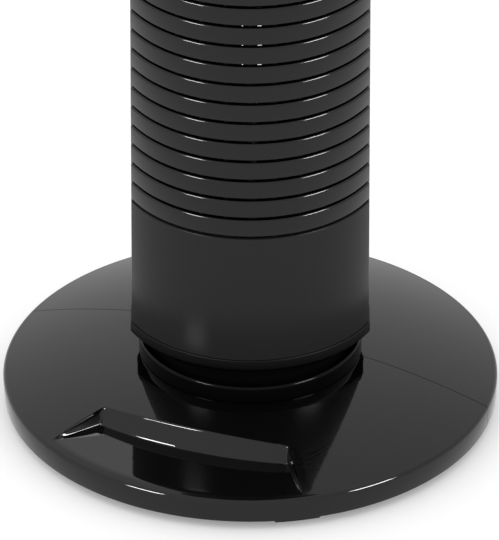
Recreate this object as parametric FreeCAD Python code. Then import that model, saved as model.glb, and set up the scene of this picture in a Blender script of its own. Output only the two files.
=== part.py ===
import FreeCAD, Part
import math
import os

# Tower fan, millimetres. +Z is up and the column's front faces -Y. The origin is the
# centre of the circle that the feet stand on, which is also on the swivel axis.

V = FreeCAD.Vector

# Base
BASE_R = 120.4              # top edge of the rim
RIM_DRAFT = 0.4             # the rim leans in by this much at its foot
RIM_FOOT_Z = 4.6            # the feet lift the rim this far off the floor
RIM_TOP_Z = 14.8
DOME_TOP_Z = 30.2           # base top beside the collar
DOME_TOP_R = 54.6
DOME_MID = (87.0, 24.8)     # radius and height of a point on the dome
SHOULDER = 2.0              # rounding between dome and rim
BASE_WALL = 2.6
SEAM = 0.35                 # gap between the two halves
SEAM_BACK = 9.9             # the seam runs this far behind the swivel axis
BASE_TURN = -21.5           # the base's own front, turned from the column's front at rest
POCKET_HALF_ANGLE = 34.0
POCKET_INNER_R = 76.5       # inner edge of the pocket on its centre line
POCKET_EDGE_R = 200.0       # the inner edge is a slight curve
POCKET_FLOOR_Z = 17.2
POCKET_WALL_LEAN = 5.0      # the inner wall's foot lies this much further out
POCKET_WALL_TOP_Z = 27.4
FOOT_ANGLES = (33.0, 105.0, 150.0, 210.0, 255.0, 327.0)
FOOT_SPAN = 11.0
FOOT_R = (107.0, 114.5)

# Swivel
NECK_R = 49.5
WELL_R = 51.0
POST_R = 12.0
RUNNING_GAP = 0.05
PLATE_Z = (22.0, 25.0)
COLLAR_TOP_Z = 38.9
CRANK_Y = 20.0              # crank axis behind the swivel axis
CRANK_THROW = 14.0
CRANK_STEP = 0.395          # degrees of swivel for each degree of crank
ROLLER_R = 2.6
SLOT_GAP = 0.5

# Column
COLUMN_W = 115.0
FRONT_Y = -44.0
FRONT_R = 64.0
REAR_Y = 46.0
REAR_R = 62.5
SPLIT_Y = -5.0              # the front pieces end here and the rear housing begins
SPLIT_GAP = 0.3
SHELL = 2.6
SKIRT_Z = (42.5, 48.1)
NECK_Z = (26.8, 42.2)
NECK_WALL = 3.0
FLOOR_Z = (43.6, 46.4)
FLOOR_INSET = 3.2
SKIRT_PROUD = 0.6
GRILLE_Z0 = 116.6
PITCH = 10.7
GROOVE = 1.5
RIBS = 50
HOUSING_TOP = 736.0
CAP_TOP = 748.0
FAN_TOP = 762.0

# Blower and motor
AXIS = (3.0, 3.0)
BLOWER_R = 35.5
BLOWER_Z0 = 122.0
SEGMENT = 72.0
SEGMENTS = 7
BLADES = 24
SHAFT_R = 4.0
DUCT_FLOOR_Z = (108.5, 110.5)
DUCT_ROOF_Z = (632.0, 635.0)

# Controls
KEYS = ("key_off", "key_low", "key_medium", "key_high", "key_swing")
KEY_PITCH = 13.6
KEY_SIZE = (11.4, 10.0)
KEY_Y = -12.0
KEY_TOP_Z = 751.6
KNOB_Y = 14.0
KNOB_R = 15.0
SWITCH_TOP_Z = 734.0

# Carry handle and wiring
HANDLE_Z = (662.0, 696.0)
HANDLE_W = 72.0
HANDLE_DEPTH = 24.0
LOOM_R = 2.5
SCREW_SPOTS = (58.0, 672.0, 724.0)
SCREW_X = 44.0
GLAND_R = 6.0
GLAND_Z = 60.0

GRILLE_TOP = GRILLE_Z0 + RIBS * PITCH + GROOVE
FRONT_CENTRE_Y = FRONT_Y + FRONT_R
REAR_CENTRE_Y = REAR_Y - REAR_R
BLOWER_TOP = BLOWER_Z0 + SEGMENTS * SEGMENT


def save(name, shape):
    shape.exportStep("parts/" + name + ".step")
    solids = len(shape.Solids)
    print(name, "solids", solids, "valid", shape.isValid(), "volume", round(shape.Volume))


def block(x0, x1, y0, y1, z0, z1):
    return Part.makeBox(x1 - x0, y1 - y0, z1 - z0, V(x0, y0, z0))


def disc(radius, z0, z1, at=(0.0, 0.0)):
    return Part.makeCylinder(radius, z1 - z0, V(at[0], at[1], z0))


def ring(outer, inner, z0, z1, at=(0.0, 0.0)):
    return disc(outer, z0, z1, at).cut(disc(inner, z0 - 1, z1 + 1, at))


def turned(shape, degrees, at=(0.0, 0.0)):
    result = shape.copy()
    result.rotate(V(at[0], at[1], 0), V(0, 0, 1), degrees)
    return result


def moved(shape, x, y, z):
    result = shape.copy()
    result.translate(V(x, y, z))
    return result


def extruded(edges, z0, z1):
    face = Part.Face(Part.Wire(Part.__sortEdges__(edges)))
    return moved(face, 0, 0, z0).extrude(V(0, 0, z1 - z0))


def loop_of_lines(points):
    return Part.makePolygon(points + [points[0]])


def revolved(edges, span=360.0, at=(0.0, 0.0)):
    face = Part.Face(Part.Wire(Part.__sortEdges__(edges)))
    return face.revolve(V(at[0], at[1], 0), V(0, 0, 1), span)


def line(a, b):
    return Part.LineSegment(a, b).toShape()


def arc(a, b, c):
    return Part.Arc(a, b, c).toShape()


def column_prism(z0, z1, inset=0.0):
    """The column's section, a shallow front arc, short flat sides and a rear arc."""
    half = COLUMN_W / 2 - inset
    front_r = FRONT_R - inset
    rear_r = REAR_R - inset
    front_y = FRONT_CENTRE_Y - math.sqrt(front_r ** 2 - half ** 2)
    rear_y = REAR_CENTRE_Y + math.sqrt(rear_r ** 2 - half ** 2)
    corners = [V(-half, front_y, 0), V(half, front_y, 0), V(half, rear_y, 0), V(-half, rear_y, 0)]
    edges = [arc(corners[0], V(0, FRONT_CENTRE_Y - front_r, 0), corners[1]),
             line(corners[1], corners[2]),
             arc(corners[2], V(0, REAR_CENTRE_Y + rear_r, 0), corners[3]),
             line(corners[3], corners[0])]
    prism = extruded(edges, z0, z1)
    upright = [edge for edge in prism.Edges if abs(edge.BoundBox.ZLength - (z1 - z0)) < 0.01]
    front = [edge for edge in upright if edge.BoundBox.YMax < 0.5 * (front_y + rear_y)]
    prism = prism.makeFillet(max(2.0 - inset, 0.4), front)
    upright = [edge for edge in prism.Edges if abs(edge.BoundBox.ZLength - (z1 - z0)) < 0.01]
    rear = [edge for edge in upright if abs(edge.BoundBox.YMin - rear_y) < 0.01]
    return prism.makeFillet(max(10.0 - inset, 2.0), rear)


def column_wall(z0, z1, outer=0.0, inner=SHELL):
    return column_prism(z0, z1, outer).cut(column_prism(z0 - 1, z1 + 1, inner))


def front_part(shape):
    return shape.common(block(-80, 80, -80, SPLIT_Y, 0, 800))


def rear_part(shape):
    return shape.common(block(-80, 80, SPLIT_Y + SPLIT_GAP, 80, 0, 800))


# ---------------------------------------------------------------- base

def base_profile(drop):
    """Half section of the base skin, lowered and drawn in by drop."""
    foot_r = BASE_R - RIM_DRAFT
    top = V(DOME_TOP_R, 0, DOME_TOP_Z - drop)
    mid = V(DOME_MID[0] - 0.3 * drop, 0, DOME_MID[1] - drop)
    edge = V(BASE_R - SHOULDER - 0.6 * drop, 0, RIM_TOP_Z + 1.6 - drop)
    knee = V(BASE_R - 0.45 - 0.9 * drop, 0, RIM_TOP_Z + 0.7 - 0.8 * drop)
    rim = V(BASE_R - drop, 0, RIM_TOP_Z - 0.4 - 0.5 * drop)
    foot = V(foot_r - drop, 0, RIM_FOOT_Z)
    return top, mid, edge, knee, rim, foot


def base_body(drop, z_foot):
    """Solid of revolution below the base skin, out from the swivel axis."""
    top, mid, edge, knee, rim, foot = base_profile(drop)
    foot = V(foot.x, 0, z_foot)
    axis_top = V(0, 0, top.z)
    axis_foot = V(0, 0, z_foot)
    return revolved([line(axis_foot, axis_top), line(axis_top, top), arc(top, mid, edge),
                     arc(edge, knee, rim), line(rim, foot), line(foot, axis_foot)])


def pocket_tool(grow):
    """The space above the sunken panel at the base's front, larger by grow on every wall."""
    floor_z = POCKET_FLOOR_Z - grow
    inner = POCKET_INNER_R - grow
    pivot = (0.0, POCKET_EDGE_R - POCKET_INNER_R)
    profile = [V(0, -inner, 60), V(0, -inner, POCKET_WALL_TOP_Z),
               V(0, -inner - POCKET_WALL_LEAN, floor_z), V(0, -140, floor_z), V(0, -140, 60)]
    face = Part.Face(loop_of_lines(profile))
    swept = turned(face, -24, pivot).revolve(V(pivot[0], pivot[1], 0), V(0, 0, 1), 48)
    half = math.radians(POCKET_HALF_ANGLE)
    reach = 170.0
    shift = grow / math.sin(half)
    wedge = Part.Face(loop_of_lines([V(0, shift, 0),
                                     V(reach * math.sin(half), shift - reach * math.cos(half), 0),
                                     V(0, -reach * 1.3, 0),
                                     V(-reach * math.sin(half), shift - reach * math.cos(half), 0)]))
    return swept.common(wedge.extrude(V(0, 0, 80)))


def base_shell():
    outer = base_body(0.0, RIM_FOOT_Z)
    inner = base_body(BASE_WALL, RIM_FOOT_Z - 1)
    skin = outer.cut(inner)
    well = ring(WELL_R + BASE_WALL, WELL_R, PLATE_Z[0] - BASE_WALL, DOME_TOP_Z - 0.5)
    ledge = ring(WELL_R + 1, 30.0, PLATE_Z[0] - BASE_WALL, PLATE_Z[0])
    ribs = []
    for index in range(8):
        rib = block(WELL_R + 1, BASE_R - 5, -0.9, 0.9, 9.0, 34.0).common(base_body(BASE_WALL - 0.4, 0.0))
        ribs.append(turned(rib, 22.5 + 45 * index))
    seats = [pad_sector(FOOT_R[0] - 0.5, FOOT_R[1] + 0.5, RIM_FOOT_Z, 16.0, angle, FOOT_SPAN + 1.0)
             .common(base_body(BASE_WALL - 0.4, 0.0)) for angle in FOOT_ANGLES]
    liner = pocket_tool(BASE_WALL).cut(pocket_tool(0.0)).common(outer)
    shell = skin.fuse([well, ledge, liner] + ribs + seats)
    shell = shell.cut(disc(WELL_R, PLATE_Z[0], 60))
    shell = shell.cut(pocket_tool(0.0))
    holes = [disc(1.7, 0, PLATE_Z[0] + 1, polar(40.0, 30 + 60 * index)) for index in range(6)]
    return shell.cut(holes[0].multiFuse(holes[1:]))


def polar(radius, degrees, at=(0.0, 0.0)):
    angle = math.radians(degrees)
    return (at[0] + radius * math.cos(angle), at[1] + radius * math.sin(angle))


def base_halves():
    shell = base_shell()
    front = shell.common(block(-150, 150, -150, SEAM_BACK - SEAM / 2, 0, 60))
    rear = shell.common(block(-150, 150, SEAM_BACK + SEAM / 2, 150, 0, 60))
    return front, rear


def base_collar():
    """Tall loose ring that covers the joint round the neck, with a beaded rim."""
    z0 = DOME_TOP_Z + 0.1
    bead = 1.2
    outer = DOME_TOP_R - 0.4
    crest = outer - bead
    lip = V(crest - bead, 0, COLLAR_TOP_Z - bead)
    points = [lip, V(WELL_R - 0.6, 0, COLLAR_TOP_Z - 2.0), V(WELL_R - 0.6, 0, z0), V(outer, 0, z0),
              V(outer, 0, COLLAR_TOP_Z - bead)]
    edges = [line(points[index], points[index + 1]) for index in range(4)]
    edges.append(arc(points[4], V(crest, 0, COLLAR_TOP_Z), lip))
    return revolved(edges)


def pad_sector(inner, outer, z0, z1, angle, span):
    """Short length of a ring, centred on an angle from the base's front."""
    side = BASE_R * 1.2
    spread = math.radians(span / 2)
    across = side * math.sin(spread)
    ahead = -side * math.cos(spread)
    sector = Part.Face(loop_of_lines([V(0, 0, -1), V(-across, ahead, -1), V(across, ahead, -1)]))
    return turned(ring(outer, inner, z0, z1).common(sector.extrude(V(0, 0, 40))), angle)


def foot_pads():
    return Part.makeCompound([pad_sector(*FOOT_R, 0, RIM_FOOT_Z, angle, FOOT_SPAN) for angle in FOOT_ANGLES])


def turntable_plate():
    """Fixed plate screwed to both base halves, with the hollow post the column turns on."""
    plate = disc(WELL_R - 0.4, PLATE_Z[0], PLATE_Z[1])
    post = disc(POST_R, PLATE_Z[1] - 1, 32.3)
    body = plate.fuse(post).removeSplitter()
    body = body.cut(disc(6.5, 0, 60))
    cuts = [disc(1.3, 0, PLATE_Z[1] + 0.1, polar(40.0, 30 + 60 * index)) for index in range(6)]
    cuts += [disc(1.2, 26, 60, polar(9.2, angle)) for angle in (0, 180)]
    return body.cut(cuts[0].multiFuse(cuts[1:]))


def thrust_washer():
    return ring(38.0, POST_R + 1.0, PLATE_Z[1], PLATE_Z[1] + 1.5)


def swivel_retainer():
    return ring(20.0, POST_R + 0.1, 29.8, 32.3)


def oscillation_arm():
    """Slotted arm fixed on the post. The crank roller runs along its slot."""
    z0 = 32.3
    z1 = 34.5
    reach = CRANK_Y + CRANK_THROW
    near = math.hypot(CRANK_Y, CRANK_THROW)
    width = 2 * (ROLLER_R + SLOT_GAP)
    blade_end = disc(7.5, z0, z1, (0, reach + 3.0))
    arm = disc(16.0, z0, z1).fuse([block(-7.5, 7.5, 0, reach + 3.0, z0, z1), blade_end])
    slot = block(-width / 2, width / 2, near - 1.0, reach + 1.0, z0 - 1, z1 + 1)
    slot = slot.fuse([disc(width / 2, z0 - 1, z1 + 1, (0, end)) for end in (near - 1.0, reach + 1.0)])
    holes = [disc(1.7, z0 - 1, z1 + 1, polar(9.2, angle)) for angle in (0, 180)]
    return arm.removeSplitter().cut(slot).cut(holes[0].fuse(holes[1])).cut(disc(5.0, z0 - 1, z1 + 1))


def pan_screw(radius, head_r, head_h, length, tip, direction):
    """Pan head screw with a cross recess. Tip is the point of the shank."""
    shank = Part.makeCylinder(radius, length, V(0, 0, 0))
    head = Part.makeCylinder(head_r, head_h, V(0, 0, length))
    screw = shank.fuse(head)
    screw = screw.makeFillet(head_h * 0.35, [edge for edge in screw.Edges
                                             if abs(edge.BoundBox.ZMin - length - head_h) < 0.01
                                             and edge.BoundBox.ZLength < 0.01])
    deep = length + head_h * 0.4
    cross = block(-head_r * 0.6, head_r * 0.6, -0.35, 0.35, deep, length + head_h + 1)
    screw = screw.cut(cross.fuse(turned(cross, 90)))
    placed = screw.copy()
    placed.Placement = FreeCAD.Placement(V(*tip), FreeCAD.Rotation(V(0, 0, 1), V(*direction)))
    return placed


def arm_screws():
    screws = []
    for angle in (0, 180):
        x, y = polar(9.2, angle)
        screws.append(pan_screw(1.15, 2.4, 1.6, 7.5, (x, y, 27.0), (0, 0, 1)))
    return Part.makeCompound(screws)


def base_screws():
    screws = []
    for index in range(6):
        x, y = polar(40.0, 30 + 60 * index)
        screws.append(pan_screw(1.25, 3.0, 2.0, 5.4, (x, y, PLATE_Z[0] - BASE_WALL + 5.4), (0, 0, -1)))
    return Part.makeCompound(screws)


# ---------------------------------------------------------------- column, lower end

def column_floor():
    """Bottom of the column: a flange, a round neck, and the plate that turns on the post."""
    foot_z, crown_z = NECK_Z
    inside = FLOOR_INSET + NECK_WALL
    throat = column_prism(foot_z, 50, inside).common(disc(NECK_R - NECK_WALL, foot_z, 50))
    stem = column_prism(crown_z - NECK_WALL, FLOOR_Z[1], FLOOR_INSET).common(disc(NECK_R, 30, 50))
    flange = column_prism(FLOOR_Z[0], FLOOR_Z[1], FLOOR_INSET)
    crown = disc(NECK_R, crown_z - NECK_WALL, crown_z)
    upper = flange.fuse([stem, crown]).cut(throat)
    neck = ring(NECK_R, NECK_R - NECK_WALL, foot_z, crown_z)
    plate = ring(NECK_R - 1, POST_R + RUNNING_GAP, foot_z, foot_z + 2.5)
    floor = upper.fuse([neck, plate]).removeSplitter()
    holes = [disc(1.4, 43, 47, spot) for spot in bracket_spots()]
    return floor.cut(holes[0].multiFuse(holes[1:]))


def bracket_spots():
    return [(-49.0, -2.0), (49.0, -2.0), (-46.0, 16.0), (46.0, 16.0)]


def bottom_skirt():
    return column_wall(SKIRT_Z[0], SKIRT_Z[1], -SKIRT_PROUD, SHELL + 0.4)


def screw_posts(levels):
    """Posts inside a front piece that take the rear housing's screws."""
    posts = []
    for z in levels:
        for x in (-SCREW_X, SCREW_X):
            post = Part.makeCylinder(3.4, 40, V(x, SPLIT_Y - 40, z), V(0, 1, 0))
            post = post.common(column_prism(z - 5, z + 5, 1.0))
            posts.append(post.cut(Part.makeCylinder(1.2, 12, V(x, SPLIT_Y - 12, z), V(0, 1, 0))))
    return posts


def front_cover(z0, z1, levels):
    shell = front_part(column_wall(z0, z1))
    return shell.fuse(screw_posts(levels))


def grille_bars():
    """Upright bars behind the ribs. The two outer ones stand just inside the split."""
    z0 = GRILLE_Z0 - 5.0
    z1 = GRILLE_TOP + 5.0
    wall = column_wall(z0, z1, 2.0, 8.5)
    bars = []
    for index in range(-4, 5):
        x = index * 11.6
        bars.append(wall.common(block(x - 1.0, x + 1.0, -60, SPLIT_Y, z0, z1)))
    inner = column_wall(z0, z1, SHELL + 0.2, 8.5)
    for bar in list(bars):
        ends = [block(-70, 70, -80, 0, z0, GRILLE_Z0), block(-70, 70, -80, 0, GRILLE_TOP, z1)]
        trimmed = bar.cut(ends[0].fuse(ends[1]))
        tabs = bar.common(inner).common(ends[0].fuse(ends[1]))
        bars[bars.index(bar)] = trimmed.fuse(tabs).removeSplitter()
    for side in (-1, 1):
        x0 = side * 54.4
        x1 = side * 50.5
        edge = block(min(x0, x1), max(x0, x1), -30, SPLIT_Y, GRILLE_Z0 + 0.2, GRILLE_TOP - 0.2)
        bars.append(edge.common(column_prism(z0, z1, 1.8)))
    return bars


def front_grille():
    shell = front_part(column_wall(GRILLE_Z0 + GROOVE / 2, GRILLE_TOP - GROOVE / 2))
    body = shell.fuse(grille_bars())
    slots = []
    for index in range(RIBS + 1):
        z0 = GRILLE_Z0 + index * PITCH
        slots.append(column_wall(z0, z0 + GROOVE, -1.0, SHELL + 0.6).common(block(-80, 80, -80, 0, 0, 800)))
    return body.cut(Part.makeCompound(slots))


# ---------------------------------------------------------------- rear housing

def inlet_slots():
    """Rows of air inlet slots across the back, in line with the front ribs."""
    slots = []
    for row in range(RIBS - 4):
        z0 = GRILLE_Z0 + (row + 2) * PITCH
        for column in range(-1, 2):
            x = column * 23.0
            slots.append(block(x - 9.5, x + 9.5, 15, 60, z0, z0 + 4.5))
    return slots


def rear_housing():
    shell = rear_part(column_wall(SKIRT_Z[1], HOUSING_TOP))
    bosses = []
    cuts = inlet_slots()
    for z in SCREW_SPOTS:
        for x in (-SCREW_X, SCREW_X):
            boss = Part.makeCylinder(4.2, 60, V(x, SPLIT_Y + SPLIT_GAP, z), V(0, 1, 0))
            bosses.append(boss.common(column_prism(z - 5, z + 5, 1.0)))
            cuts.append(Part.makeCylinder(1.6, 60, V(x, SPLIT_Y, z), V(0, 1, 0)))
            cuts.append(Part.makeCylinder(3.2, 60, V(x, 12.0, z), V(0, 1, 0)))
    cuts.append(block(-HANDLE_W / 2, HANDLE_W / 2, 10, 60, HANDLE_Z[0], HANDLE_Z[1]))
    cuts.append(Part.makeCylinder(GLAND_R + 0.1, 30, V(0, 30, GLAND_Z), V(0, 1, 0)))
    body = shell.fuse(bosses)
    return body.cut(Part.makeCompound(cuts))


def housing_screws():
    screws = []
    for z in SCREW_SPOTS:
        for x in (-SCREW_X, SCREW_X):
            screws.append(pan_screw(1.15, 3.0, 2.2, 24.0, (x, -12.0, z), (0, 1, 0)))
    return Part.makeCompound(screws)


def carry_handle():
    """Cup set into the rear housing for the fingers, open to the back."""
    half = HANDLE_W / 2 - 0.2
    z0 = HANDLE_Z[0] + 0.2
    z1 = HANDLE_Z[1] - 0.2
    front = REAR_Y - HANDLE_DEPTH
    cup = block(-half, half, front, 60, z0, z1)
    cup = cup.common(column_prism(z0 - 5, z1 + 5, 0.3))
    space = block(-half + 2, half - 2, front + 2, 60, z0 + 2, z1 - 2)
    long_edges = [edge for edge in space.Edges if abs(edge.BoundBox.YLength - (58 - front)) < 0.1]
    space = space.makeFillet(5.0, long_edges)
    return cup.cut(space)


def cord_gland():
    """Bush for the mains lead, low on the back. It is empty."""
    back = REAR_Y
    barrel = Part.makeCylinder(GLAND_R, 9.0, V(0, back - 8.0, GLAND_Z), V(0, 1, 0))
    flange = Part.makeCylinder(GLAND_R + 2.0, 2.0, V(0, back, GLAND_Z), V(0, 1, 0))
    flange = flange.makeFillet(0.8, [edge for edge in flange.Edges if edge.BoundBox.YMin > back + 1.9])
    hole = Part.makeCylinder(3.4, 40, V(0, back - 20, GLAND_Z), V(0, 1, 0))
    return flange.fuse(barrel).removeSplitter().cut(hole)


# ---------------------------------------------------------------- oscillation drive

def oscillation_bracket():
    plate = block(-53, 53, -17, 30, 46.4, 48.0).common(column_prism(40, 60, 3.4))
    cuts = [disc(8.0, 40, 60, (0, CRANK_Y))]
    cuts += [disc(10.0, 40, 60, (x, 6.0)) for x in (-36.0, 36.0)]
    cuts += [disc(1.7, 40, 60, spot) for spot in bracket_spots()]
    cuts += [disc(1.2, 40, 60, spot) for spot in motor_ears()]
    return plate.cut(cuts[0].multiFuse(cuts[1:]))


def motor_ears():
    return [(-28.0, 12.0), (28.0, 12.0)]


def bracket_screws():
    screws = [pan_screw(1.3, 2.8, 1.8, 4.6, (spot[0], spot[1], 43.4), (0, 0, 1)) for spot in bracket_spots()]
    screws += [pan_screw(1.1, 2.4, 1.6, 3.4, (spot[0], spot[1], 46.0), (0, 0, 1)) for spot in motor_ears()]
    return Part.makeCompound(screws)


def oscillation_motor():
    """Flat geared synchronous motor. Its output shaft points down, off centre."""
    can = disc(24.0, 48.0, 61.0, (0, 12.0))
    can = can.makeFillet(1.5, [edge for edge in can.Edges if edge.BoundBox.ZMin > 60.9])
    tabs = block(-31, 31, 8.0, 16.0, 48.0, 49.4)
    tabs = tabs.makeFillet(3.0, [edge for edge in tabs.Edges if abs(edge.BoundBox.ZLength - 1.4) < 0.01])
    body = can.fuse(tabs).removeSplitter()
    holes = [disc(1.5, 40, 55, spot) for spot in motor_ears()]
    body = body.cut(holes[0].fuse(holes[1]))
    return body.cut(disc(3.1, 40, 52, (0, CRANK_Y)))


def crank_rest_angle():
    return 90.0 + BASE_TURN / CRANK_STEP


def crank_disc():
    centre = (0, CRANK_Y)
    body = disc(18.5, 38.0, 41.0, centre).fuse(disc(6.0, 40.5, 45.8, centre)).removeSplitter()
    pin_at = polar(CRANK_THROW, crank_rest_angle(), centre)
    pin = disc(1.5, 31.2, 38.5, pin_at)
    return body.fuse(pin).removeSplitter().cut(disc(2.9, 37.0, 46.5, centre))


def crank_roller():
    pin_at = polar(CRANK_THROW, crank_rest_angle(), (0, CRANK_Y))
    return ring(ROLLER_R, 1.55, 31.4, 37.7, pin_at)


def crank_shaft():
    return disc(2.9, 38.0, 51.5, (0, CRANK_Y))


# ---------------------------------------------------------------- blower motor

def motor_deck():
    """Plate across the column that carries the blower motor on rubber grommets."""
    deck = column_prism(66.0, 68.4, SHELL + 0.2)
    deck = deck.cut(disc(10.0, 60, 80, AXIS))
    cuts = [disc(3.0, 60, 80, spot) for spot in grommet_spots()]
    return deck.cut(cuts[0].multiFuse(cuts[1:]))


def grommet_spots():
    return [polar(29.0, 45 + 90 * index, AXIS) for index in range(4)]


def motor_grommets():
    parts = []
    for spot in grommet_spots():
        stem = ring(2.9, 1.5, 65.0, 69.4, spot)
        flanges = [ring(5.0, 1.5, z0, z0 + 2.0, spot) for z0 in (64.0, 68.4)]
        parts.append(stem.fuse(flanges).removeSplitter())
    return Part.makeCompound(parts)


def end_shield(z_closed, z_open):
    """Pressed steel cup with a bearing seat in its closed end."""
    low = min(z_closed, z_open)
    high = max(z_closed, z_open)
    up = z_open > z_closed
    cup = disc(35.0, low, high, AXIS)
    cup = cup.makeFillet(4.0, [edge for edge in cup.Edges
                               if edge.BoundBox.ZLength < 0.01 and abs(edge.BoundBox.ZMin - z_closed) < 0.01])
    inner = disc(33.4, low + 1.4, high + 1, AXIS) if up else disc(33.4, low - 1, high - 1.4, AXIS)
    cup = cup.cut(inner)
    seat = disc(9.0, z_closed, z_closed + 4.0, AXIS) if up else disc(9.0, z_closed - 4.0, z_closed, AXIS)
    vents = []
    for index in range(8):
        spot = polar(21.0, 45 * index, AXIS)
        vents.append(disc(3.6, low - 1, high + 1, spot))
    vents += [disc(1.6, low - 1, high + 1, spot) for spot in grommet_spots()]
    cup = cup.cut(vents[0].multiFuse(vents[1:]))
    return cup.fuse(seat).cut(disc(SHAFT_R + RUNNING_GAP, low - 1, high + 1, AXIS))


def motor_stator():
    stack = ring(33.2, 17.6, 80.0, 96.0, AXIS)
    slots = [block(AXIS[0] + 19.0, AXIS[0] + 29.0, AXIS[1] - 1.8, AXIS[1] + 1.8, 79, 97)]
    mouth = block(AXIS[0] + 16.0, AXIS[0] + 20.0, AXIS[1] - 0.8, AXIS[1] + 0.8, 79, 97)
    slots[0] = slots[0].fuse(mouth)
    tools = [turned(slots[0], 22.5 * index, AXIS) for index in range(16)]
    return stack.cut(tools[0].multiFuse(tools[1:]))


def motor_windings():
    coils = []
    for z0, z1 in ((73.6, 79.8), (96.2, 102.4)):
        coil = ring(30.0, 18.6, z0, z1, AXIS)
        coil = coil.makeFillet(2.4, [edge for edge in coil.Edges if edge.BoundBox.ZLength < 0.01])
        coils.append(coil)
    return Part.makeCompound(coils)


def motor_rotor():
    core = ring(17.2, SHAFT_R, 80.0, 96.0, AXIS)
    caps = [ring(16.4, 8.0, 76.0, 80.0, AXIS), ring(16.4, 8.0, 96.0, 100.0, AXIS)]
    return core.fuse(caps).removeSplitter()


def motor_shaft():
    shaft = disc(SHAFT_R, 71.0, 121.0, AXIS)
    return shaft.makeChamfer(0.6, [edge for edge in shaft.Edges if edge.BoundBox.ZLength < 0.01])


def motor_screws():
    screws = []
    for index in range(4):
        x, y = grommet_spots()[index]
        screws.append(pan_screw(1.4, 3.4, 1.8, 9.0, (x, y, 73.0), (0, 0, -1)))
    return Part.makeCompound(screws)


def capacitor():
    body = block(-51.0, -39.0, -8.0, 11.0, 70.5, 96.0)
    return body.makeFillet(1.5, body.Edges)


# ---------------------------------------------------------------- blower and duct

def blade(z0, z1):
    """One forward curved blade, a strip of a circle between the ring's two radii."""
    inner = V(*polar(BLOWER_R - 8.0, 0.0), 0)
    outer = V(*polar(BLOWER_R - 0.4, 9.0), 0)
    middle = V(*polar(BLOWER_R - 4.6, 1.2), 0)
    thick = 1.0
    inner_b = V(*polar(BLOWER_R - 8.0, 2.1), 0)
    outer_b = V(*polar(BLOWER_R - 0.4, 10.7), 0)
    middle_b = V(*polar(BLOWER_R - 4.6, 1.2 + math.degrees(thick / (BLOWER_R - 4.6))), 0)
    return extruded([arc(inner, middle, outer), line(outer, outer_b),
                     arc(outer_b, middle_b, inner_b), line(inner_b, inner)], z0, z1)


def blower_segments():
    ring_h = 1.8
    plate = ring(BLOWER_R, BLOWER_R - 10.0, 0, ring_h)
    strip = blade(ring_h / 2, SEGMENT)
    blades = [turned(strip, 360.0 / BLADES * index) for index in range(BLADES)]
    segment = plate.fuse(blades).removeSplitter()
    parts = []
    for index in range(SEGMENTS):
        placed = turned(segment, 5.0 * index)
        parts.append(moved(placed, AXIS[0], AXIS[1], BLOWER_Z0 + index * SEGMENT))
    return Part.makeCompound(parts)


def blower_end_disc():
    body = disc(BLOWER_R, BLOWER_TOP, BLOWER_TOP + 2.0, AXIS)
    hub = disc(7.0, BLOWER_TOP - 6.0, BLOWER_TOP + 2.0, AXIS)
    return body.fuse(hub).removeSplitter().cut(disc(3.0, BLOWER_TOP - 5.0, BLOWER_TOP + 3, AXIS))


def blower_top_pin():
    return disc(3.0, BLOWER_TOP - 5.0, BLOWER_TOP + 15.0, AXIS)


def blower_hub():
    """Rubber cushioned hub that joins the lowest ring to the motor shaft."""
    body = disc(BLOWER_R - 1.0, BLOWER_Z0 - 2.0, BLOWER_Z0, AXIS)
    boss = disc(9.0, BLOWER_Z0 - 9.0, BLOWER_Z0 + 3.0, AXIS)
    return body.fuse(boss).removeSplitter().cut(disc(SHAFT_R, 100, BLOWER_Z0 - 0.9, AXIS))


def duct_plate(z0, z1):
    behind = rear_part(column_prism(z0, z1, SHELL + 0.2))
    plate = behind.fuse(column_prism(z0, z1, 9.0)).removeSplitter()
    return plate.cut(disc(LOOM_R + 1.2, z0 - 1, z1 + 1, loom_down()))


def duct_floor():
    return duct_plate(*DUCT_FLOOR_Z).cut(disc(9.6, 100, 120, AXIS))


def duct_roof():
    """Plate above the blower with the cup that holds the upper bearing."""
    z0, z1 = DUCT_ROOF_Z
    cup = disc(11.0, z0, z1 + 8.0, AXIS)
    body = duct_plate(z0, z1).fuse(cup).removeSplitter()
    return body.cut(disc(8.0, z0 + 2.0, z1 + 9.0, AXIS)).cut(disc(5.0, z0 - 1, z1 + 9.0, AXIS))


def upper_bush():
    return ring(7.9, 3.0 + RUNNING_GAP, 634.2, 641.0, AXIS)


def bearing_cap():
    return ring(10.8, 4.0, 643.0, 644.6, AXIS)


def scroll_radius(share):
    return BLOWER_R + 3.0 + 9.0 * share


def duct_scroll():
    """Spiral wall that gathers the air, opening out towards the front."""
    start = 118.0
    sweep = 86.0
    steps = 5
    inner = []
    outer = []
    for index in range(steps + 1):
        share = index / steps
        inner.append(V(*polar(scroll_radius(share), start + sweep * share, AXIS), 0))
        outer.append(V(*polar(scroll_radius(share) + 1.6, start + sweep * share, AXIS), 0))
    near = Part.BSplineCurve()
    near.interpolate(inner)
    far = Part.BSplineCurve()
    far.interpolate(outer)
    wall = extruded([near.toShape(), far.toShape(), line(inner[0], outer[0]), line(inner[-1], outer[-1])],
                    DUCT_FLOOR_Z[1], DUCT_ROOF_Z[0])
    return wall.common(column_prism(100, 700, SHELL + 0.3))


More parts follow.
